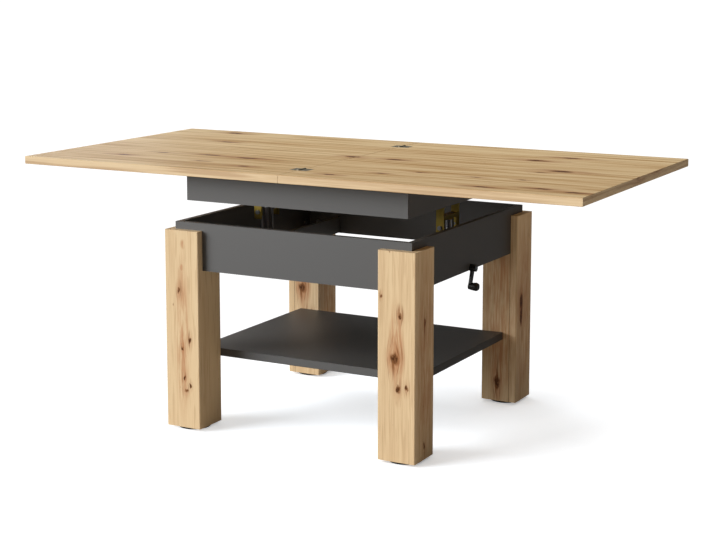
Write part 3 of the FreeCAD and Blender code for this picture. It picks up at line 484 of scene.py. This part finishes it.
def leg_joint(tree, width):
    """Mask of the joint on the inside face of a leg, where an outer board meets an inner one."""
    place = add(tree, "VectorMath", add(tree, "TexCoord").outputs["Object"], operation="ABSOLUTE")
    x, y, _ = add(tree, "SeparateXYZ", place).outputs
    line = add(tree, "Math", x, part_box("lower_right_panel")[1].x, width / 2, operation="COMPARE")
    inside = add(tree, "Math", y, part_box("leg_back_right")[0].y + MM, operation="LESS_THAN")
    return add(tree, "Math", line, inside, operation="MULTIPLY")


def counted(tree, place, size, start=0.0):
    """Board coordinates counted in steps of a size along and across the grain."""
    steps = (1 / size[0], 1 / size[1], 0)
    return add(tree, "VectorMath", place, steps, (start, start, 0), operation="MULTIPLY_ADD")


def mottled(tree, place, size, start=0.0, detail=2.0, roughness=0.5):
    """Soft noise with patches of a size along and across the grain."""
    grain = {"Scale": 1.0, "Detail": detail, "Roughness": roughness}
    return add(tree, "TexNoise", counted(tree, place, size, start), named=grain, noise_dimensions="2D")


def stepped(tree, value, mask):
    """Mask of the printed oak that rises smoothly from its start to where it is full."""
    return add(tree, "MapRange", value, *OAK_STEPS[mask], 0.0, 1.0, interpolation_type="SMOOTHSTEP")


def about_knot(tree, place, centre, size):
    """Coordinates about a knot, counted in its size, and their length."""
    steps = [1 / (extent * MM) for extent in size]
    start = [-middle / extent for middle, extent in zip(centre, size)]
    apart = add(tree, "VectorMath", place, (*steps, 0), (*start, 0), operation="MULTIPLY_ADD")
    return apart, add(tree, "VectorMath", apart, operation="LENGTH").outputs["Value"]


def parted_figure(tree, look, flat, knots):
    """Coordinates that part round the larger knots, and the distances to their cores and flames."""
    notches = mottled(tree, flat, look.ragged_size, detail=3.0).outputs["Color"]
    notches = add(tree, "VectorMath", notches, (NOISE_MIDDLE,) * 3, operation="SUBTRACT")
    figure = flat
    core = FAR
    flame = FAR
    for *centre, length, width in knots:
        ragged = add(tree, "VectorMath", notches, look.ragged_size, figure, operation="MULTIPLY_ADD")
        reach = about_knot(tree, ragged, centre, (length, width))[1]
        core = add(tree, "Math", reach, core, operation="MINIMUM")
        spread = (length * look.flame_size[0], width * look.flame_size[1])
        apart, reach = about_knot(tree, figure, centre, spread)
        flame = add(tree, "Math", reach, flame, operation="MINIMUM")
        fading = {"Scale": stepped(tree, reach, "push")}
        push = add(tree, "VectorMath", apart, named=fading, operation="SCALE")
        aside = (0, -look.figure_push * spread[1] * MM, 0)
        figure = add(tree, "VectorMath", push, aside, figure, operation="MULTIPLY_ADD")
    return figure, core, flame


def broad_flames_and_shade(tree, figure, flames, tongue_size):
    """Mask of the broad flames, which end in tongues along the grain. On the legs the widest ones are
    painted shade on the shaded sides.
    """
    blush_and_shade = FAR
    for *centre, length, width in flames:
        reach = about_knot(tree, figure, centre, (length, width))[1]
        blush_and_shade = add(tree, "Math", reach, blush_and_shade, operation="MINIMUM")
    tongue = mottled(tree, figure, tongue_size, start=23.0, detail=3.0, roughness=0.7)
    return add(tree, "Math", stepped(tree, blush_and_shade, "blush_and_shade"), stepped(tree, tongue, "tongue"),
               operation="MULTIPLY")


def growth_rings(tree, look, figure):
    """Wave across the grain that wanders with a slow noise."""
    wander = mottled(tree, figure, look.wander_size, start=3.0)
    across = add(tree, "SeparateXYZ", figure).outputs[1]
    turns = add(tree, "Math", across, 2 * math.pi / look.ring_width, operation="MULTIPLY")
    turns = add(tree, "Math", wander, look.ring_wander, turns, operation="MULTIPLY_ADD")
    return add(tree, "Math", turns, operation="SINE")


def pin_knots(tree, look, flat):
    """Mask of the pin knots, at most one for each cell of a loose pattern."""
    cell = add(tree, "TexVoronoi", counted(tree, flat, look.knot_step),
               named={"Scale": 1.0, "Randomness": 0.9}, voronoi_dimensions="2D")
    chance = add(tree, "SeparateXYZ", cell.outputs["Color"]).outputs[0]
    size = add(tree, "MapRange", chance, look.pin_chance, 1.0, 0.0, look.pin_knot / look.knot_step[1])
    pin = add(tree, "Math", size, cell.outputs["Distance"], operation="SUBTRACT")
    return add(tree, "MapRange", pin, 0.0, look.pin_edge, 0.0, look.pin_dark)


def oak_tone(tree, look, figure, across, fibre, strength):
    """Tone of the print. Streaks below full strength keep the mean tone as it is."""
    plank = add(tree, "Math", across, look.plank_width, operation="DIVIDE")
    plank = add(tree, "Math", plank, operation="FLOOR")
    sources = {
        "streak": mottled(tree, figure, look.streak_size, detail=4.0, roughness=0.55),
        "fibre": fibre,
        "plank": add(tree, "TexWhiteNoise", named={"W": plank}, noise_dimensions="1D"),
        "ring": growth_rings(tree, look, figure),
    }
    shares = {**TONE_SHARES, "streak": TONE_SHARES["streak"] * strength}
    tone = NOISE_MIDDLE * (TONE_SHARES["streak"] - shares["streak"])
    for pattern, source in sources.items():
        tone = add(tree, "Math", source, shares[pattern], tone, operation="MULTIPLY_ADD")
    return tone


def oak_laminate(name, look, grain, knots, flames):
    """Chipboard faced with printed oak paper under a matt resin, pores pressed in along the grain."""
    material, tree, shader = new_material(name)
    upright = grain == "Z"
    line_size = look.leg_line_size if upright else look.line_size
    strength = look.leg_streaks if upright else 1.0
    along, across, foil = board_plane(tree, grain)
    flat = add(tree, "CombineXYZ", along, across, 0.0)
    figure, core, flame = parted_figure(tree, look, flat, knots)
    flame = stepped(tree, flame, "flame")
    fibre = mottled(tree, figure, look.fibre_size, start=7.0, detail=5.0, roughness=0.65)
    tone = oak_tone(tree, look, figure, across, fibre, strength)
    line = mottled(tree, figure, line_size, start=17.0, detail=1.0)
    slit = stepped(tree, mottled(tree, figure, look.crack_size, start=11.0), "slit")
    speck = stepped(tree, mottled(tree, flat, look.speck_size, start=5.0), "speck")
    pin = pin_knots(tree, look, flat)
    masks = {
        "deep": add(tree, "MapRange", tone, *DEEP_TONES, 0.0, 1.0),
        "line": stepped(tree, line, "line"),
        "foil": foil,
        "flame": flame,
        "crack": add(tree, "Math", slit, flame, operation="MULTIPLY"),
        "rim": add(tree, "Math", stepped(tree, core, "rim"), pin, operation="MAXIMUM"),
        "heart": add(tree, "Math", stepped(tree, core, "heart"), speck, operation="MULTIPLY"),
    }
    # Broad reddish flames, partly painted shade on the shaded sides of the legs
    if flames:
        masks["blush_and_shade"] = broad_flames_and_shade(tree, figure, flames, line_size)
    if upright:
        masks["joint"] = leg_joint(tree, look.joint_width)

    weaker = {"line": strength, "flame": strength, "foil": look.foil_pale}
    pale = add(tree, "MapRange", tone, *PALE_TONES, 0.0, 1.0)
    colour = add(tree, "MixRGB", pale, tint("oak_mid"), tint("oak_light"))
    for mask, most, entry in OAK_LAYERS:
        if mask in masks:
            share = add(tree, "Math", masks[mask], most * weaker.get(mask, 1.0), operation="MULTIPLY")
            colour = add(tree, "MixRGB", share, colour, tint(entry))
    tree.links.new(colour.outputs[0], shader.inputs["Base Color"])
    shader.inputs["Roughness"].default_value = look.gloss_roughness
    shader.inputs["Specular IOR Level"].default_value = look.foil_gloss if upright else look.oak_gloss
    relief = {
        "Strength": look.pore_strength,
        "Distance": look.pore_depth,
        "Height": add(tree, "Math", fibre, masks["heart"], operation="SUBTRACT"),
    }
    tree.links.new(add(tree, "Bump", named=relief).outputs[0], shader.inputs["Normal"])
    return material


def speckled(name, look, colours, roughness, speck, depth, metallic=0.0, gloss=0.5):
    """Even material whose colour and roughness vary a little over specks of one size."""
    material, tree, shader = new_material(name)
    place = add(tree, "TexCoord").outputs["Object"]
    grain = add(tree, "TexNoise", place, named={"Scale": 1 / speck, "Detail": 3.0, "Roughness": 0.6})
    colour = add(tree, "MixRGB", grain, *[tint(entry) for entry in colours])
    tree.links.new(colour.outputs[0], shader.inputs["Base Color"])
    spread = [roughness * (1 + sign * ROUGH_SPREAD) for sign in SIGNS]
    rough = add(tree, "MapRange", grain, *NOISE_RANGE, *spread)
    tree.links.new(rough.outputs[0], shader.inputs["Roughness"])
    shader.inputs["Metallic"].default_value = metallic
    shader.inputs["Specular IOR Level"].default_value = gloss
    relief = {"Strength": look.speck_strength, "Distance": depth, "Height": grain}
    tree.links.new(add(tree, "Bump", named=relief).outputs[0], shader.inputs["Normal"])
    return material


def anthracite_laminate(look):
    """Chipboard faced with dark grey paper under a matt resin with a fine pearl texture."""
    return speckled("Anthracite laminate", look, ("anthracite", "anthracite_fleck"),
                    roughness=look.gloss_roughness, speck=1.2 * MM, depth=0.03 * MM, gloss=look.resin_gloss)


def sawn_wood(look):
    """Planed softwood left bare, with soft fibres."""
    return speckled("Bare softwood", look, ("raw_light", "raw_dark"),
                    roughness=0.7, speck=6 * MM, depth=0.1 * MM)


def yellow_zinc(look):
    """Pressed steel sheet, zinc plated and yellow passivated, which leaves a greenish gold cloud."""
    return speckled("Yellow zinc plated steel", look, ("zinc_gold", "zinc_green"),
                    roughness=0.36, speck=9 * MM, depth=0.01 * MM, metallic=1.0)


def bright_steel(look):
    """Drawn and turned steel with a thin film of oil."""
    return speckled("Turned steel", look, ("steel", "steel_dark"),
                    roughness=0.3, speck=2 * MM, depth=0.01 * MM, metallic=1.0)


def nickel_steel(look):
    """Stamped steel with a satin nickel plate."""
    return speckled("Nickel plated steel", look, ("nickel", "nickel_dark"),
                    roughness=0.5, speck=3 * MM, depth=0.01 * MM, metallic=1.0)


def cast_zinc(look):
    """Die-cast zinc alloy, tumbled after casting."""
    return speckled("Die-cast zinc", look, ("cast", "cast_dark"),
                    roughness=0.5, speck=1.5 * MM, depth=0.05 * MM, metallic=1.0)


def brass(look):
    """Turned brass."""
    return speckled("Turned brass", look, ("brass", "brass_dark"),
                    roughness=0.34, speck=2 * MM, depth=0.01 * MM, metallic=1.0)


def black_plastic(look):
    """Moulded polyamide with a spark-eroded matt skin."""
    return speckled("Moulded black polyamide", look, ("plastic", "plastic_dark"),
                    roughness=0.45, speck=0.8 * MM, depth=0.03 * MM)


def black_paint(look):
    """Steel with a satin black powder coat."""
    return speckled("Black powder coat", look, ("paint", "paint_dark"),
                    roughness=0.38, speck=0.6 * MM, depth=0.03 * MM)


PLAIN_FINISHES = {
    "anthracite_board": anthracite_laminate,
    "raw_wood": sawn_wood,
    "yellow_zinc": yellow_zinc,
    "bright_steel": bright_steel,
    "nickel_steel": nickel_steel,
    "cast_zinc": cast_zinc,
    "brass": brass,
    "black_plastic": black_plastic,
    "black_steel": black_paint,
}


def nodes_in(slot):
    """CAD nodes that the record gives a material slot."""
    found = [part["node"] for part in frame["record"]["subparts"] if part["material_slot"] == slot]
    if not found:
        raise RuntimeError(f"no node uses the slot {slot}")
    return [frame["nodes"][name] for name in found]


def finish_node(node, material):
    """Give every face of a CAD node one material."""
    node.data.materials.clear()
    node.data.materials.append(material)


def shared(slot):
    """Material that a slot already has on the CAD nodes."""
    return nodes_in(slot)[0].data.materials[0]


def new_piece(name, points, faces, slot, body, sharp=SHARP_EDGE):
    """Mesh piece in the row frame with its finish, riding on a body."""
    mesh = bpy.data.meshes.new(name)
    mesh.from_pydata([tuple(point) for point in points], [], faces)
    mesh.validate()
    mesh.shade_smooth()
    mesh.set_sharp_from_angle(angle=sharp)
    piece = bpy.data.objects.new(name, mesh)
    bpy.context.scene.collection.objects.link(piece)
    mesh.materials.append(shared(slot))
    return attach(piece, body)


def lathe(rings, segments):
    """Closed shape about +Z. A ring is a reach, or a function of angle and height, and its height."""
    points = []
    faces = []
    for reach, height in rings:
        for step in range(segments):
            angle = 2 * math.pi * step / segments
            radius = reach(angle, height) if callable(reach) else reach
            points.append(Vector((radius * math.cos(angle), radius * math.sin(angle), height)))
    for ring in range(len(rings) - 1):
        for step in range(segments):
            near = ring * segments + step
            far = ring * segments + (step + 1) % segments
            faces.append((near, far, far + segments, near + segments))
    faces.append(tuple(reversed(range(segments))))
    faces.append(tuple(range((len(rings) - 1) * segments, len(rings) * segments)))
    return points, faces


def thread(look, full, bottom):
    """Outline of a cut thread as reach by angle and height over the bottom of the spindle."""
    def reach(angle, height):
        turns = (height + bottom) / look.thread_pitch
        turns -= angle / (2 * math.pi) * look.thread_lead / look.thread_pitch
        slope = abs(2 * (turns % 1) - 1)
        depth = 0.5 + look.thread_flank * (slope - 0.5)
        return full - look.thread_depth * min(1, max(0, depth))
    return reach


def hexagon(flat):
    """Outline of a hexagon as reach by angle, from half its width across the flats."""
    def reach(angle, height):
        return flat / math.cos((angle + math.pi / 6) % (math.pi / 3) - math.pi / 6)
    return reach


def cross(length, width):
    """Outline of a cross recess as reach by angle, from half the length and width of its arms."""
    def reach(angle, height):
        arms = []
        for turn in (0, math.pi / 2):
            run = max(abs(math.cos(angle - turn)), 1e-6)
            side = max(abs(math.sin(angle - turn)), 1e-6)
            arms.append(min(length / run, width / side))
        return max(arms)
    return reach


def countersunk_head(radius):
    """Countersunk head with a cross recess, its rim level with the sheet, in shares of its radius."""
    recess = cross(radius * 0.6, radius * 0.16)
    return [(radius * 0.5, -radius * 0.6), (radius * 0.97, -0.05 * MM), (radius * 0.97, 0.1 * MM),
            (radius * 0.85, 0.25 * MM), (recess, 0.25 * MM), (recess, -radius * 0.4)]


def pan_head(radius):
    """Pan head with a cross recess, in shares of its radius."""
    recess = cross(radius * 0.55, radius * 0.15)
    return [(radius, 0), (radius, radius * 0.25), (radius * 0.88, radius * 0.5),
            (radius * 0.66, radius * 0.62), (recess, radius * 0.62), (recess, radius * 0.15)]


def socket_head(radius, height):
    """Flat round head with a hexagon socket, in shares of its radius and height."""
    socket = hexagon(radius * 0.38)
    return [(radius, 0), (radius, height * 0.6), (radius * 0.92, height), (socket, height),
            (socket, height * 0.2)]


def fasteners(name, head, places, slot, body):
    """One piece of equal fasteners; each place is a point and the way that the head faces."""
    points = []
    faces = []
    shape, sides = lathe(head, SCREW_CORNERS)
    for point, direction in places:
        turn = Vector(direction).to_track_quat("Z", "Y")
        start = len(points)
        points += [turn @ corner + Vector(point) for corner in shape]
        faces += [tuple(start + index for index in side) for side in sides]
    return new_piece(name, points, faces, slot, body)


class TABLE_OT_oak_boards(bpy.types.Operator):
    """Oak laminate on the two leaves and the four legs"""

    bl_idname = "table.oak_boards"
    bl_label = "Oak boards"

    def execute(self, context):
        look = context.scene.board_look
        top = oak_laminate("Oak laminate, grain along the top", look, "X", TOP_KNOTS, ())
        leg = oak_laminate("Oak laminate, upright grain, with painted shade", look, "Z", LEG_KNOTS, LEG_FLAMES_AND_SHADE)
        for node in nodes_in("oak_board"):
            finish_node(node, leg if node.name.startswith("leg") else top)
        return {"FINISHED"}


class TABLE_OT_plain_finishes(bpy.types.Operator):
    """Anthracite boards, bare wood, metal and plastic parts"""

    bl_idname = "table.plain_finishes"
    bl_label = "Plain finishes"

    def execute(self, context):
        for slot, make in PLAIN_FINISHES.items():
            material = make(context.scene.board_look)
            for node in nodes_in(slot):
                finish_node(node, material)
        return {"FINISHED"}


class TABLE_OT_spindles(bpy.types.Operator):
    """Two lift spindles with their cut thread, in place of the plain ones"""

    bl_idname = "table.spindles"
    bl_label = "Threaded spindles"

    def execute(self, context):
        look = context.scene.hardware_look
        for side, _ in SIDES:
            low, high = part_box(f"spindle_{side}")
            full = (high.x - low.x) / 2
            journal = full * look.journal_share
            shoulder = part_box("thrust_washers")[1].z - low.z
            top = high.z - low.z
            start = shoulder + look.thread_end
            run = top - shoulder - 2 * look.thread_end
            count = int(run / look.thread_pitch * THREAD_RINGS)
            groove = thread(look, full, low.z)
            rings = [(journal, 0), (journal, shoulder), (full, shoulder), (full, start)]
            rings += [(groove, start + run * step / count) for step in range(count + 1)]
            rings += [(full * share, top - depth) for share, depth in SPINDLE_TIP]
            points, faces = lathe(rings, SPINDLE_CORNERS)
            centre = Vector(((low.x + high.x) / 2, (low.y + high.y) / 2, low.z))
            piece = new_piece(f"spindle_thread_{side}", [point + centre for point in points], faces,
                              "bright_steel", f"spindle_{side}", THREAD_EDGE)
            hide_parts(f"spindle_{side}")
        return {"FINISHED"}


class TABLE_OT_hinge_screws(bpy.types.Operator):
    """Four countersunk screws in each flush hinge of the top"""

    bl_idname = "table.hinge_screws"
    bl_label = "Hinge screws"

    def execute(self, context):
        look = context.scene.hardware_look
        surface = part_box("leaf_right")[1].z
        pins = frame["nodes"]["hinge_pins"]
        ends = [(pins.matrix_world @ corner.co).y for corner in pins.data.vertices]
        near = min(end for end in ends if end > 0)
        middle = (max(ends) + near) / 2
        half = (max(ends) - near) / 2
        share_x, share_y = look.hinge_screw_share
        for side, sign in SIDES:
            low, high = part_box(f"hinge_plates_{side}")
            reach = sign * max(abs(low.x), abs(high.x))
            places = []
            for hinge in SIGNS:
                for end in SIGNS:
                    along = hinge * middle + end * half * share_y
                    places.append(((reach * share_x, along, surface), UP))
            fasteners(f"hinge_screws_{side}", countersunk_head(look.hinge_screw), places,
                      "nickel_steel", f"top_{side}")
        return {"FINISHED"}


class TABLE_OT_lift_screws(bpy.types.Operator):
    """Screws of the yokes, of the gear case flanges and of the gear covers"""

    bl_idname = "table.lift_screws"
    bl_label = "Lift screws"

    def execute(self, context):
        look = context.scene.hardware_look
        for side, sign in SIDES:
            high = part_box(f"yoke_{side}")[1]
            web = sign * (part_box("upper_right_panel")[0].x - look.yoke_sheet)
            places = [((web, across * look.yoke_screw_aside, high.z - drop), (-sign, 0, 0))
                      for across in SIGNS for drop in look.yoke_screw_drops]
            fasteners(f"yoke_screws_{side}", pan_head(look.wood_screw), places, "yellow_zinc", "upper")

            low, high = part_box(f"gear_case_{side}")
            seat = (low.x if sign > 0 else high.x) + sign * look.flange_sheet
            places = [((seat, across * look.flange_screw_aside, high.z - drop), (sign, 0, 0))
                      for across in SIGNS for drop in look.flange_screw_drops]
            fasteners(f"flange_screws_{side}", pan_head(look.wood_screw), places, "yellow_zinc", "base")

            low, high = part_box(f"gear_cover_{side}")
            inset_x, inset_y = look.cover_screw_inset
            places = [((x, y, high.z), UP)
                      for x in (low.x + inset_x, high.x - inset_x)
                      for y in (low.y + inset_y, high.y - inset_y)]
            fasteners(f"cover_screws_{side}", pan_head(look.cover_screw), places, "bright_steel", "base")
        return {"FINISHED"}


class TABLE_OT_leg_bolts(bpy.types.Operator):
    """Bolts that hold the lower frame to the legs, four at each corner"""

    bl_idname = "table.leg_bolts"
    bl_label = "Leg bolts"

    def execute(self, context):
        look = context.scene.hardware_look
        inner_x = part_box("lower_right_panel")[0].x
        inner_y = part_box("lower_back_panel")[0].y
        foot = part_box("lower_front_panel")[0].z
        inset = look.leg_bolt_inset
        places = []
        for sign_x in SIGNS:
            for sign_y in SIGNS:
                for rise in look.leg_bolt_rises:
                    beside = (sign_x * (inner_x - inset), sign_y * inner_y, foot + rise)
                    endways = (sign_x * inner_x, sign_y * (inner_y - inset), foot + rise)
                    places += [(beside, (0, -sign_y, 0)), (endways, (-sign_x, 0, 0))]
        head = socket_head(look.leg_bolt, look.leg_bolt_height)
        fasteners("leg_bolts", head, places, "bright_steel", "base")
        return {"FINISHED"}


class TABLE_OT_stage(bpy.types.Operator):
    """White floor and room, three soft lights and the camera"""

    bl_idname = "table.stage"
    bl_label = "Stage"

    def execute(self, context):
        scene = context.scene
        look = scene.stage_look
        self.floor(scene, look)
        scene.world = self.white_room(look)
        flat = math.cos(look.key_height)
        key = Vector((-flat * math.sin(look.key_azimuth), -flat * math.cos(look.key_azimuth),
                      math.sin(look.key_height)))
        sun = self.light(scene, "key", "SUN", key * look.key_distance)
        sun.energy = look.key_strength
        sun.angle = look.key_spread
        ceiling = self.light(scene, "ceiling", "AREA", Vector(look.ceiling_place))
        ceiling.energy = look.ceiling_power
        ceiling.size = look.ceiling_width
        rim = self.light(scene, "rim", "AREA", Vector(look.rim_place))
        rim.energy = look.rim_power
        rim.size = look.rim_width
        self.camera(scene, look)
        scene.view_settings.view_transform = "Standard"
        return {"FINISHED"}

    def floor(self, scene, look):
        """Level floor under the table."""
        half = look.floor_half
        corners = [(-half, -half, 0), (half, -half, 0), (half, half, 0), (-half, half, 0)]
        mesh = bpy.data.meshes.new("floor")
        mesh.from_pydata(corners, [], [(0, 1, 2, 3)])
        mesh.materials.append(self.white_floor(look))
        floor = bpy.data.objects.new("floor", mesh)
        scene.collection.objects.link(floor)

    def white_floor(self, look):
        """Painted white floor; the camera sees it lifted to white with soft shadows left in, and with a
        painted contact shadow round the legs.
        """
        material, tree, shader = new_material("White painted floor")
        tree.nodes.remove(shader)
        path = add(tree, "LightPath").outputs
        colour = add(tree, "MixRGB", path["Is Glossy Ray"], tint("floor"), tint("floor_mirrored"))
        plain = add(tree, "BsdfDiffuse", colour)
        shade = add(tree, "BsdfDiffuse", [level * look.floor_shade for level in tint("floor_seen")])
        # Painted contact shadow: less white lift where ambient occlusion finds a leg near
        near = add(tree, "AmbientOcclusion", named={"Distance": look.contact_shadow_reach}, samples=16)
        lift = add(tree, "MapRange", near.outputs["AO"], 0.0, 1.0, look.contact_shadow_lift, look.floor_lift)
        shaded = add(tree, "AddShader", shade, add(tree, "Emission", WHITE, lift))
        place = add(tree, "TexCoord").outputs["Object"]
        away = add(tree, "VectorMath", place, look.shadow_middle, operation="DISTANCE").outputs["Value"]
        faded = add(tree, "MapRange", away, *look.shadow_reach, 0.0, 1.0, interpolation_type="SMOOTHSTEP")
        seen = add(tree, "MixShader", faded, shaded, add(tree, "Emission", WHITE, look.plain_white))
        surface = add(tree, "MixShader", path["Is Camera Ray"], plain, seen)
        tree.links.new(surface.outputs[0], tree.nodes["Material Output"].inputs["Surface"])
        return material

    def white_room(self, look):
        """White room: plain white to the camera, a faint light on the object."""
        room = bpy.data.worlds.new("White room")
        room.use_nodes = True
        tree = room.node_tree
        path = add(tree, "LightPath").outputs
        lit = add(tree, "Math", path["Is Glossy Ray"], look.sheen - look.fill, look.fill,
                  operation="MULTIPLY_ADD")
        seen = add(tree, "Math", path["Is Camera Ray"], look.plain_white, operation="MULTIPLY")
        level = add(tree, "Math", lit, seen, operation="MAXIMUM")
        background = tree.nodes["Background"]
        background.inputs["Color"].default_value = WHITE
        tree.links.new(level.outputs[0], background.inputs["Strength"])
        return room

    def light(self, scene, name, kind, place):
        """Light that faces the middle of the table."""
        lamp = bpy.data.lights.new(name, kind)
        holder = bpy.data.objects.new(name, lamp)
        holder.location = place
        aim = Vector(scene.stage_look.aim)
        holder.rotation_euler = (aim - place).to_track_quat("-Z", "Y").to_euler()
        scene.collection.objects.link(holder)
        return lamp

    def camera(self, scene, look):
        """Camera of the main picture."""
        lens = bpy.data.cameras.new("camera")
        lens.lens = look.lens
        lens.shift_y = look.shift
        camera = bpy.data.objects.new("camera", lens)
        camera.location = look.camera_place
        camera.rotation_euler = (math.pi / 2 - look.camera_pitch, 0, look.camera_yaw)
        scene.collection.objects.link(camera)
        scene.camera = camera


OPERATORS = (
    TABLE_OT_oak_boards,
    TABLE_OT_plain_finishes,
    TABLE_OT_spindles,
    TABLE_OT_hinge_screws,
    TABLE_OT_lift_screws,
    TABLE_OT_leg_bolts,
    TABLE_OT_stage,
)


class TABLE_PT_looks(bpy.types.Panel):
    """Steps that dress the table, in order"""

    bl_idname = "TABLE_PT_looks"
    bl_label = "Convertible table"
    bl_space_type = "VIEW_3D"
    bl_region_type = "UI"
    bl_category = "Table"

    def draw(self, context):
        for operator in OPERATORS:
            self.layout.operator(operator.bl_idname)


LOOKS = (
    ("palette_look", PaletteLook),
    ("board_look", BoardLook),
    ("hardware_look", HardwareLook),
    ("stage_look", StageLook),
)


def register():
    """Add the looks, the steps and the panel to Blender."""
    for name, look in LOOKS:
        bpy.utils.register_class(look)
        setattr(bpy.types.Scene, name, PointerProperty(type=look))
    for operator in OPERATORS:
        bpy.utils.register_class(operator)
    bpy.utils.register_class(TABLE_PT_looks)


def unregister():
    """Take them out again."""
    bpy.utils.unregister_class(TABLE_PT_looks)
    for operator in reversed(OPERATORS):
        bpy.utils.unregister_class(operator)
    for name, look in reversed(LOOKS):
        delattr(bpy.types.Scene, name)
        bpy.utils.unregister_class(look)


def main():
    """Dress the table."""
    register()
    for operator in OPERATORS:
        group, step = operator.bl_idname.split(".")
        getattr(getattr(bpy.ops, group), step)()


if __name__ == "__main__":
    main()
